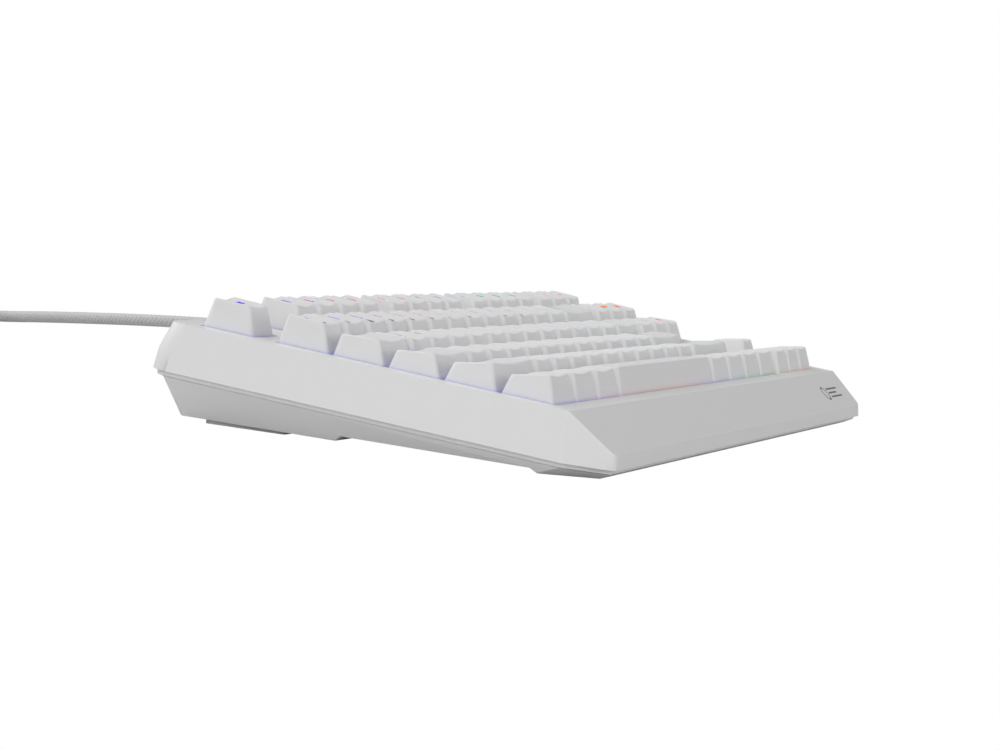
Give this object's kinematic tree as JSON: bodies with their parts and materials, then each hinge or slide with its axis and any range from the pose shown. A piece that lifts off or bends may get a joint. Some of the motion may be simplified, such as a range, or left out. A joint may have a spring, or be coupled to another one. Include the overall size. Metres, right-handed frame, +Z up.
{
  "type": "tenkeyless mechanical keyboard",
  "caption": "Wired tenkeyless mechanical keyboard with a faceted wedge case, sculpted translucent keycaps over lit switches, wire stabilisers, fold-out feet and a braided cord.",
  "frame": {"origin": "on the desk, under the middle of the case (cord left out)", "axes": "+X to the user's right along the case, +Y to the back, +Z up"},
  "size_m": [0.3686, 0.412, 0.0405],
  "materials": {
    "keycap_plastic": "satin, light shows through a little",
    "case_top_plastic": "fine satin",
    "case_bottom_plastic": "fine satin",
    "plate_paint": "white powder coat",
    "board_laminate": "white solder mask",
    "housing_plastic": "moulded",
    "light_lens": "clear lens",
    "spring_steel": "drawn wire",
    "screw_steel": "blackened",
    "foot_rubber": "matt",
    "boot_rubber": "matt",
    "cord_braid": "braided sleeve",
    "tie_fabric": "woven hook-and-loop strap",
    "plug_plastic": "satin",
    "plug_steel": "stamped sheet"
  },
  "bodies": {
    "case": {"top_shell": "case_top_plastic", "bottom_shell": "case_bottom_plastic", "switch_plate": "plate_paint", "circuit_board": "board_laminate", "switch_lower_housings": "housing_plastic", "switch_upper_housings": "housing_plastic", "switch_springs": "spring_steel", "switch_leds": "light_lens", "stabiliser_housings": "housing_plastic", "rubber_feet": "foot_rubber", "case_screws": "screw_steel", "strain_relief": "boot_rubber", "usb_cord": "cord_braid", "cord_coil": "cord_braid", "cord_tail": "cord_braid", "cord_tie": "tie_fabric", "usb_plug_body": "plug_plastic", "usb_plug_shell": "plug_steel"},
    "key_left_ctrl": {"key_left_ctrl": "keycap_plastic"},
    "key_left_system": {"key_left_system": "keycap_plastic"},
    "key_left_alt": {"key_left_alt": "keycap_plastic"},
    "key_space": {"key_space": "keycap_plastic"},
    "key_right_alt": {"key_right_alt": "keycap_plastic"},
    "key_fn": {"key_fn": "keycap_plastic"},
    "key_menu": {"key_menu": "keycap_plastic"},
    "key_right_ctrl": {"key_right_ctrl": "keycap_plastic"},
    "key_left": {"key_left": "keycap_plastic"},
    "key_down": {"key_down": "keycap_plastic"},
    "key_right": {"key_right": "keycap_plastic"},
    "key_left_shift": {"key_left_shift": "keycap_plastic"},
    "key_right_shift": {"key_right_shift": "keycap_plastic"},
    "key_up": {"key_up": "keycap_plastic"},
    "key_caps_lock": {"key_caps_lock": "keycap_plastic"},
    "key_enter": {"key_enter": "keycap_plastic"},
    "key_tab": {"key_tab": "keycap_plastic"},
    "key_backslash": {"key_backslash": "keycap_plastic"},
    "key_delete": {"key_delete": "keycap_plastic"},
    "key_end": {"key_end": "keycap_plastic"},
    "key_page_down": {"key_page_down": "keycap_plastic"},
    "key_grave": {"key_grave": "keycap_plastic"},
    "key_backspace": {"key_backspace": "keycap_plastic"},
    "key_insert": {"key_insert": "keycap_plastic"},
    "key_home": {"key_home": "keycap_plastic"},
    "key_page_up": {"key_page_up": "keycap_plastic"},
    "key_escape": {"key_escape": "keycap_plastic"},
    "keys_z_to_slash": {"keys_z_to_slash": "keycap_plastic"},
    "keys_a_to_quote": {"keys_a_to_quote": "keycap_plastic"},
    "keys_q_to_bracket": {"keys_q_to_bracket": "keycap_plastic"},
    "keys_1_to_equals": {"keys_1_to_equals": "keycap_plastic"},
    "keys_f1_to_f4": {"keys_f1_to_f4": "keycap_plastic"},
    "keys_f5_to_f8": {"keys_f5_to_f8": "keycap_plastic"},
    "keys_f9_to_f12": {"keys_f9_to_f12": "keycap_plastic"},
    "keys_print_to_pause": {"keys_print_to_pause": "keycap_plastic"},
    "stabiliser_wire_left_shift": {"stabiliser_wire_left_shift": "spring_steel"},
    "stabiliser_wire_right_shift": {"stabiliser_wire_right_shift": "spring_steel"},
    "stabiliser_wire_enter": {"stabiliser_wire_enter": "spring_steel"},
    "stabiliser_wire_backspace": {"stabiliser_wire_backspace": "spring_steel"},
    "stabiliser_wire_space": {"stabiliser_wire_space": "spring_steel"},
    "flip_foot_left": {"flip_foot_left": "case_bottom_plastic"},
    "flip_foot_right": {"flip_foot_right": "case_bottom_plastic"}
  },
  "joints": [
    {"name": "key_left_ctrl_travel", "type": "slide", "parent": "case", "child": "key_left_ctrl", "axis": [0, -0.0802, 0.9968], "range_m": [-0.004, 0], "stiffness_N_per_m": 75, "springref_m": 0.004, "deforming": ["switch_springs"]},
    {"name": "key_left_system_travel", "type": "slide", "parent": "case", "child": "key_left_system", "axis": [0, -0.0802, 0.9968], "range_m": [-0.004, 0], "stiffness_N_per_m": 75, "springref_m": 0.004, "deforming": ["switch_springs"]},
    {"name": "key_left_alt_travel", "type": "slide", "parent": "case", "child": "key_left_alt", "axis": [0, -0.0802, 0.9968], "range_m": [-0.004, 0], "stiffness_N_per_m": 75, "springref_m": 0.004, "deforming": ["switch_springs"]},
    {"name": "key_space_travel", "type": "slide", "parent": "case", "child": "key_space", "axis": [0, -0.0802, 0.9968], "range_m": [-0.004, 0], "stiffness_N_per_m": 75, "springref_m": 0.004, "deforming": ["switch_springs"]},
    {"name": "key_right_alt_travel", "type": "slide", "parent": "case", "child": "key_right_alt", "axis": [0, -0.0802, 0.9968], "range_m": [-0.004, 0], "stiffness_N_per_m": 75, "springref_m": 0.004, "deforming": ["switch_springs"]},
    {"name": "key_fn_travel", "type": "slide", "parent": "case", "child": "key_fn", "axis": [0, -0.0802, 0.9968], "range_m": [-0.004, 0], "stiffness_N_per_m": 75, "springref_m": 0.004, "deforming": ["switch_springs"]},
    {"name": "key_menu_travel", "type": "slide", "parent": "case", "child": "key_menu", "axis": [0, -0.0802, 0.9968], "range_m": [-0.004, 0], "stiffness_N_per_m": 75, "springref_m": 0.004, "deforming": ["switch_springs"]},
    {"name": "key_right_ctrl_travel", "type": "slide", "parent": "case", "child": "key_right_ctrl", "axis": [0, -0.0802, 0.9968], "range_m": [-0.004, 0], "stiffness_N_per_m": 75, "springref_m": 0.004, "deforming": ["switch_springs"]},
    {"name": "key_left_travel", "type": "slide", "parent": "case", "child": "key_left", "axis": [0, -0.0802, 0.9968], "range_m": [-0.004, 0], "stiffness_N_per_m": 75, "springref_m": 0.004, "deforming": ["switch_springs"]},
    {"name": "key_down_travel", "type": "slide", "parent": "case", "child": "key_down", "axis": [0, -0.0802, 0.9968], "range_m": [-0.004, 0], "stiffness_N_per_m": 75, "springref_m": 0.004, "deforming": ["switch_springs"]},
    {"name": "key_right_travel", "type": "slide", "parent": "case", "child": "key_right", "axis": [0, -0.0802, 0.9968], "range_m": [-0.004, 0], "stiffness_N_per_m": 75, "springref_m": 0.004, "deforming": ["switch_springs"]},
    {"name": "key_left_shift_travel", "type": "slide", "parent": "case", "child": "key_left_shift", "axis": [0, -0.0802, 0.9968], "range_m": [-0.004, 0], "stiffness_N_per_m": 75, "springref_m": 0.004, "deforming": ["switch_springs"]},
    {"name": "key_right_shift_travel", "type": "slide", "parent": "case", "child": "key_right_shift", "axis": [0, -0.0802, 0.9968], "range_m": [-0.004, 0], "stiffness_N_per_m": 75, "springref_m": 0.004, "deforming": ["switch_springs"]},
    {"name": "key_up_travel", "type": "slide", "parent": "case", "child": "key_up", "axis": [0, -0.0802, 0.9968], "range_m": [-0.004, 0], "stiffness_N_per_m": 75, "springref_m": 0.004, "deforming": ["switch_springs"]},
    {"name": "key_caps_lock_travel", "type": "slide", "parent": "case", "child": "key_caps_lock", "axis": [0, -0.0802, 0.9968], "range_m": [-0.004, 0], "stiffness_N_per_m": 75, "springref_m": 0.004, "deforming": ["switch_springs"]},
    {"name": "key_enter_travel", "type": "slide", "parent": "case", "child": "key_enter", "axis": [0, -0.0802, 0.9968], "range_m": [-0.004, 0], "stiffness_N_per_m": 75, "springref_m": 0.004, "deforming": ["switch_springs"]},
    {"name": "key_tab_travel", "type": "slide", "parent": "case", "child": "key_tab", "axis": [0, -0.0802, 0.9968], "range_m": [-0.004, 0], "stiffness_N_per_m": 75, "springref_m": 0.004, "deforming": ["switch_springs"]},
    {"name": "key_backslash_travel", "type": "slide", "parent": "case", "child": "key_backslash", "axis": [0, -0.0802, 0.9968], "range_m": [-0.004, 0], "stiffness_N_per_m": 75, "springref_m": 0.004, "deforming": ["switch_springs"]},
    {"name": "key_delete_travel", "type": "slide", "parent": "case", "child": "key_delete", "axis": [0, -0.0802, 0.9968], "range_m": [-0.004, 0], "stiffness_N_per_m": 75, "springref_m": 0.004, "deforming": ["switch_springs"]},
    {"name": "key_end_travel", "type": "slide", "parent": "case", "child": "key_end", "axis": [0, -0.0802, 0.9968], "range_m": [-0.004, 0], "stiffness_N_per_m": 75, "springref_m": 0.004, "deforming": ["switch_springs"]},
    {"name": "key_page_down_travel", "type": "slide", "parent": "case", "child": "key_page_down", "axis": [0, -0.0802, 0.9968], "range_m": [-0.004, 0], "stiffness_N_per_m": 75, "springref_m": 0.004, "deforming": ["switch_springs"]},
    {"name": "key_grave_travel", "type": "slide", "parent": "case", "child": "key_grave", "axis": [0, -0.0802, 0.9968], "range_m": [-0.004, 0], "stiffness_N_per_m": 75, "springref_m": 0.004, "deforming": ["switch_springs"]},
    {"name": "key_backspace_travel", "type": "slide", "parent": "case", "child": "key_backspace", "axis": [0, -0.0802, 0.9968], "range_m": [-0.004, 0], "stiffness_N_per_m": 75, "springref_m": 0.004, "deforming": ["switch_springs"]},
    {"name": "key_insert_travel", "type": "slide", "parent": "case", "child": "key_insert", "axis": [0, -0.0802, 0.9968], "range_m": [-0.004, 0], "stiffness_N_per_m": 75, "springref_m": 0.004, "deforming": ["switch_springs"]},
    {"name": "key_home_travel", "type": "slide", "parent": "case", "child": "key_home", "axis": [0, -0.0802, 0.9968], "range_m": [-0.004, 0], "stiffness_N_per_m": 75, "springref_m": 0.004, "deforming": ["switch_springs"]},
    {"name": "key_page_up_travel", "type": "slide", "parent": "case", "child": "key_page_up", "axis": [0, -0.0802, 0.9968], "range_m": [-0.004, 0], "stiffness_N_per_m": 75, "springref_m": 0.004, "deforming": ["switch_springs"]},
    {"name": "key_escape_travel", "type": "slide", "parent": "case", "child": "key_escape", "axis": [0, -0.0802, 0.9968], "range_m": [-0.004, 0], "stiffness_N_per_m": 75, "springref_m": 0.004, "deforming": ["switch_springs"]},
    {"name": "keys_z_to_slash_travel", "type": "slide", "parent": "case", "child": "keys_z_to_slash", "axis": [0, -0.0802, 0.9968], "range_m": [-0.004, 0], "stiffness_N_per_m": 750, "springref_m": 0.004, "deforming": ["switch_springs"]},
    {"name": "keys_a_to_quote_travel", "type": "slide", "parent": "case", "child": "keys_a_to_quote", "axis": [0, -0.0802, 0.9968], "range_m": [-0.004, 0], "stiffness_N_per_m": 825, "springref_m": 0.004, "deforming": ["switch_springs"]},
    {"name": "keys_q_to_bracket_travel", "type": "slide", "parent": "case", "child": "keys_q_to_bracket", "axis": [0, -0.0802, 0.9968], "range_m": [-0.004, 0], "stiffness_N_per_m": 900, "springref_m": 0.004, "deforming": ["switch_springs"]},
    {"name": "keys_1_to_equals_travel", "type": "slide", "parent": "case", "child": "keys_1_to_equals", "axis": [0, -0.0802, 0.9968], "range_m": [-0.004, 0], "stiffness_N_per_m": 900, "springref_m": 0.004, "deforming": ["switch_springs"]},
    {"name": "keys_f1_to_f4_travel", "type": "slide", "parent": "case", "child": "keys_f1_to_f4", "axis": [0, -0.0802, 0.9968], "range_m": [-0.004, 0], "stiffness_N_per_m": 300, "springref_m": 0.004, "deforming": ["switch_springs"]},
    {"name": "keys_f5_to_f8_travel", "type": "slide", "parent": "case", "child": "keys_f5_to_f8", "axis": [0, -0.0802, 0.9968], "range_m": [-0.004, 0], "stiffness_N_per_m": 300, "springref_m": 0.004, "deforming": ["switch_springs"]},
    {"name": "keys_f9_to_f12_travel", "type": "slide", "parent": "case", "child": "keys_f9_to_f12", "axis": [0, -0.0802, 0.9968], "range_m": [-0.004, 0], "stiffness_N_per_m": 300, "springref_m": 0.004, "deforming": ["switch_springs"]},
    {"name": "keys_print_to_pause_travel", "type": "slide", "parent": "case", "child": "keys_print_to_pause", "axis": [0, -0.0802, 0.9968], "range_m": [-0.004, 0], "stiffness_N_per_m": 225, "springref_m": 0.004, "deforming": ["switch_springs"]},
    {"name": "stabiliser_wire_left_shift_swing", "type": "hinge", "parent": "case", "child": "stabiliser_wire_left_shift", "pos_m": [-0.1524, -0.03577, 0.01671], "axis": [1, 0, 0], "range_deg": [-30.7, 0]},
    {"name": "stabiliser_wire_right_shift_swing", "type": "hinge", "parent": "case", "child": "stabiliser_wire_right_shift", "pos_m": [0.08572, -0.03577, 0.01671], "axis": [1, 0, 0], "range_deg": [-30.7, 0]},
    {"name": "stabiliser_wire_enter_swing", "type": "hinge", "parent": "case", "child": "stabiliser_wire_enter", "pos_m": [0.09049, -0.01678, 0.01823], "axis": [1, 0, 0], "range_deg": [-30.7, 0]},
    {"name": "stabiliser_wire_backspace_swing", "type": "hinge", "parent": "case", "child": "stabiliser_wire_backspace", "pos_m": [0.09287, 0.0212, 0.02129], "axis": [1, 0, 0], "range_deg": [-30.7, 0]},
    {"name": "stabiliser_wire_space_swing", "type": "hinge", "parent": "case", "child": "stabiliser_wire_space", "pos_m": [-0.04286, -0.05475, 0.01518], "axis": [1, 0, 0], "range_deg": [-30.7, 0]},
    {"name": "flip_foot_left_fold", "type": "hinge", "parent": "case", "child": "flip_foot_left", "pos_m": [-0.118, 0.052, 0.0044], "axis": [1, 0, 0], "range_deg": [0, 84]},
    {"name": "flip_foot_right_fold", "type": "hinge", "parent": "case", "child": "flip_foot_right", "pos_m": [0.118, 0.052, 0.0044], "axis": [1, 0, 0], "range_deg": [0, 84]}
  ],
  "couplings": [
    {"joint": "stabiliser_wire_left_shift_swing", "follows": "key_left_shift_travel", "rad_per_m": 133.7},
    {"joint": "stabiliser_wire_right_shift_swing", "follows": "key_right_shift_travel", "rad_per_m": 133.7},
    {"joint": "stabiliser_wire_enter_swing", "follows": "key_enter_travel", "rad_per_m": 133.7},
    {"joint": "stabiliser_wire_backspace_swing", "follows": "key_backspace_travel", "rad_per_m": 133.7},
    {"joint": "stabiliser_wire_space_swing", "follows": "key_space_travel", "rad_per_m": 133.7}
  ]
}
